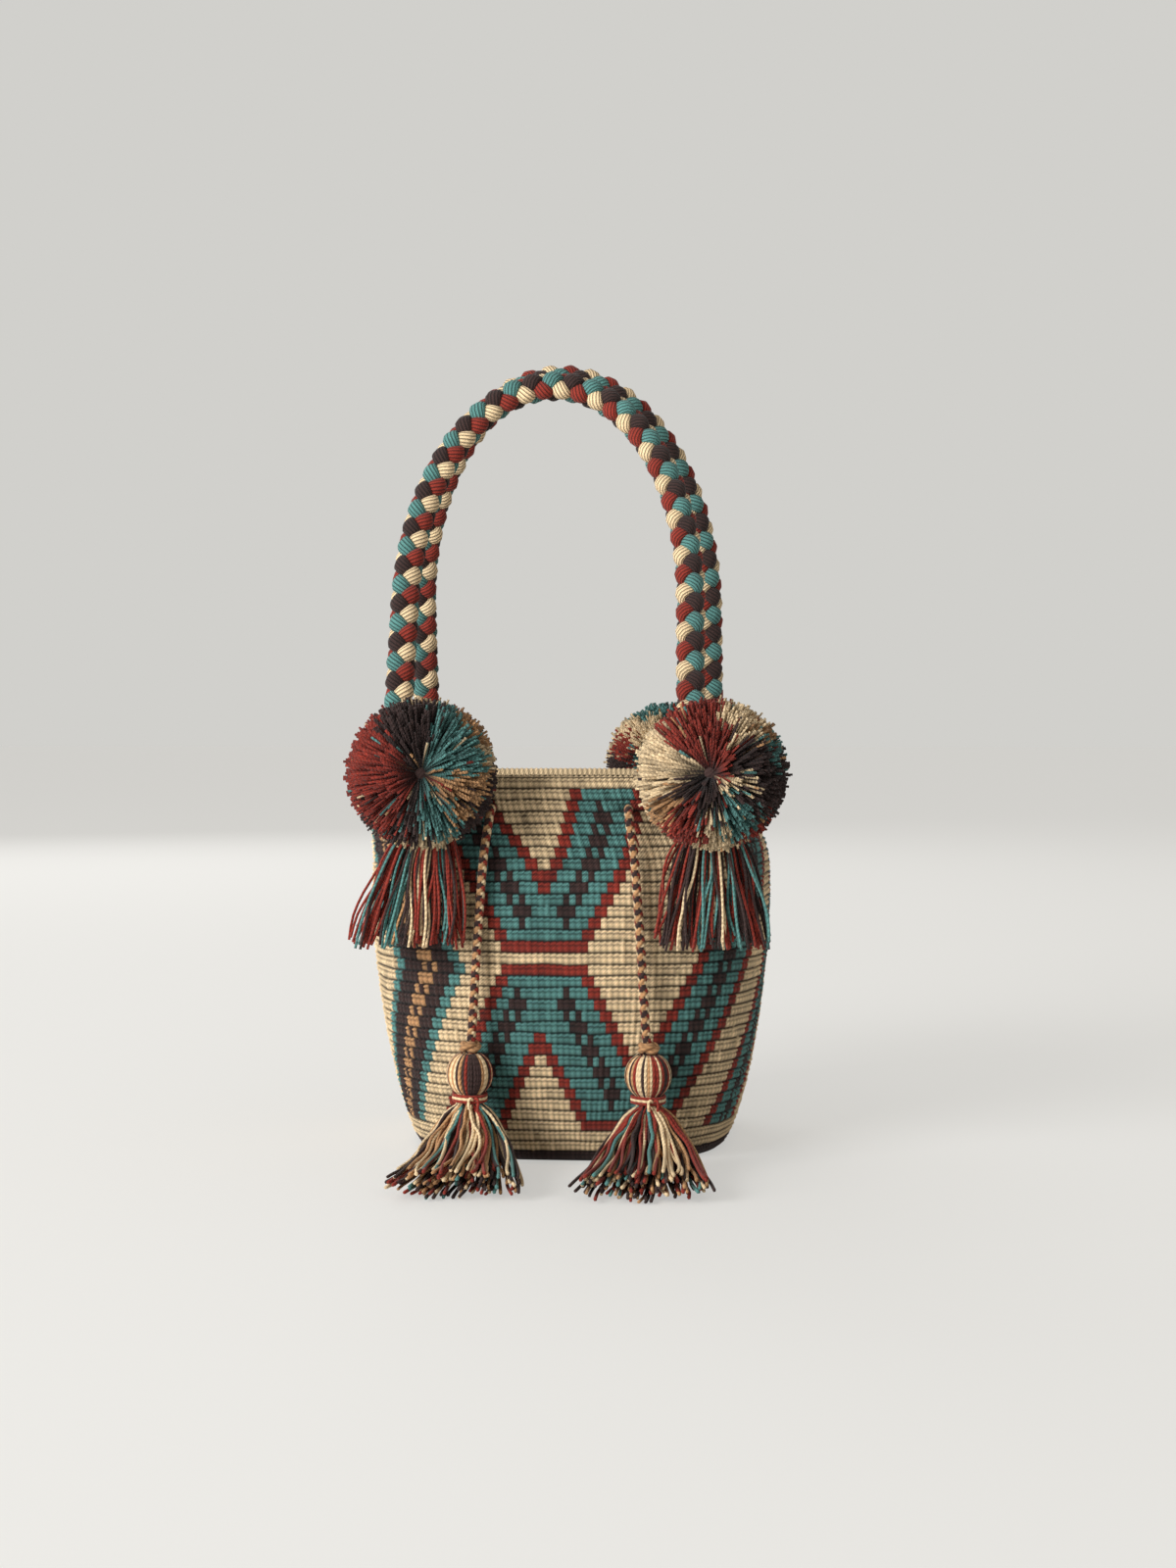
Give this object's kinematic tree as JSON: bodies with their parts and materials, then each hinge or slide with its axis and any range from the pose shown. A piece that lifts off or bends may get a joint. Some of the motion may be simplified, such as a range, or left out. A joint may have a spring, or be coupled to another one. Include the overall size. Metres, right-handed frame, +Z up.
{
  "type": "wayuu mochila bag",
  "caption": "Crocheted bucket bag with braided arch handles that swing, sewn pompoms with fringes, and a tasselled drawstring.",
  "frame": {"origin": "middle of the flat base that the bag stands on", "axes": "+Z up, -Y towards the front where the two tassels hang, +X to the viewer's right"},
  "size_m": [0.25, 0.3478, 0.4247],
  "materials": {
    "cotton": "single-crochet cotton, cream with brick red, teal, tan and dark brown figures",
    "braid": "round four-strand cotton braid in cream, red, teal and dark brown",
    "foot": "sewn cotton wrap",
    "pompom": "cut cotton yarn pile",
    "fringe": "loose twisted yarn",
    "cord": "braided cotton cord",
    "tassel": "long twisted yarn",
    "tie": "wound and knotted yarn"
  },
  "bodies": {
    "bag": {"bag_body": "cotton", "front_left_foot": "foot", "front_right_foot": "foot", "back_left_foot": "foot", "back_right_foot": "foot", "front_left_pompom": "pompom", "front_right_pompom": "pompom", "back_left_pompom": "pompom", "back_right_pompom": "pompom", "front_left_pompom_tie": "tie", "front_right_pompom_tie": "tie", "back_left_pompom_tie": "tie", "back_right_pompom_tie": "tie", "front_left_fringe": "fringe", "front_right_fringe": "fringe", "back_left_fringe": "fringe", "back_right_fringe": "fringe", "drawstring_loop": "cord", "drawstring_left_end": "cord", "drawstring_right_end": "cord", "left_tassel_knot": "tie", "right_tassel_knot": "tie", "left_tassel_head": "tassel", "right_tassel_head": "tassel", "left_tassel_neck_tie": "tie", "right_tassel_neck_tie": "tie", "left_tassel_skirt": "tassel", "right_tassel_skirt": "tassel"},
    "front_handle_body": {"front_handle": "braid"},
    "back_handle_body": {"back_handle": "braid"}
  },
  "joints": [
    {"name": "front_handle_swing", "type": "hinge", "parent": "bag", "child": "front_handle_body", "pos_m": [-0.01, -0.08973, 0.206], "axis": [1, 0, 0], "range_deg": [-3, 28]},
    {"name": "back_handle_swing", "type": "hinge", "parent": "bag", "child": "back_handle_body", "pos_m": [-0.01, 0.08328, 0.206], "axis": [-1, 0, 0], "range_deg": [-3, 28]}
  ]
}
